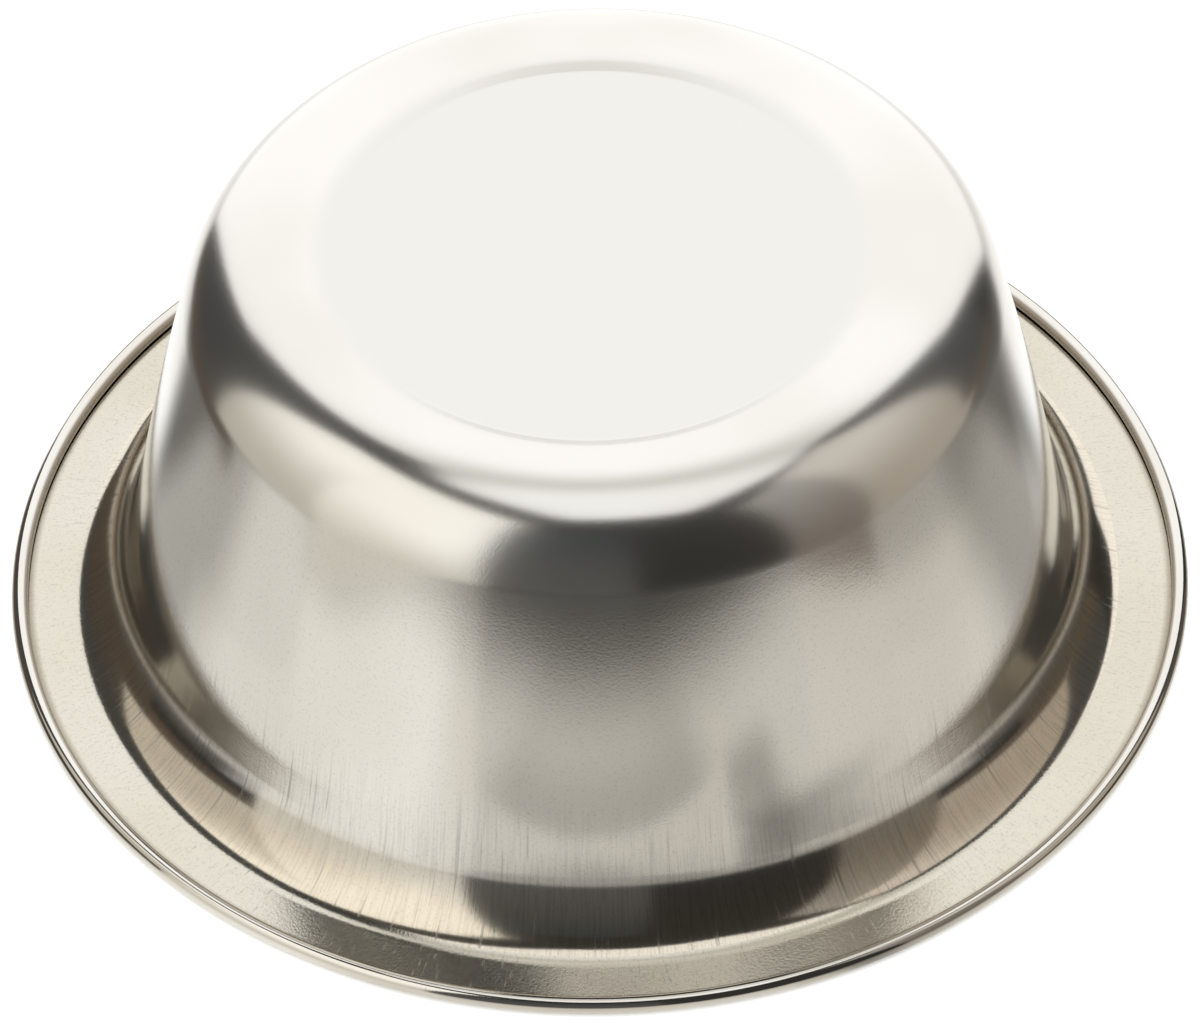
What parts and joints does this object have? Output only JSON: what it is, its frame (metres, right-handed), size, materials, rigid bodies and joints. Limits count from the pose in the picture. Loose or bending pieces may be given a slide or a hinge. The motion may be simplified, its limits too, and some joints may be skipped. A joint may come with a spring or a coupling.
{
  "type": "pet bowl",
  "caption": "Round drawn stainless steel pet bowl for food or water, upside down on its brim: shallow sunk base, tapered wall, sloping brim with a rolled edge.",
  "frame": {"origin": "centre of the circle on which the brim lies, with the bowl upside down as in the picture", "axes": "+Z along the bowl's axis, out of the base; turned half round about X the bowl stands on its base ring, mouth up"},
  "size_m": [0.18, 0.18, 0.0715],
  "materials": {
    "stainless_steel": "satin drawn stainless steel with fine draw marks down the wall and a polished rolled edge"
  },
  "bodies": {
    "root": {"bowl_shell": "stainless_steel"}
  },
  "joints": []
}
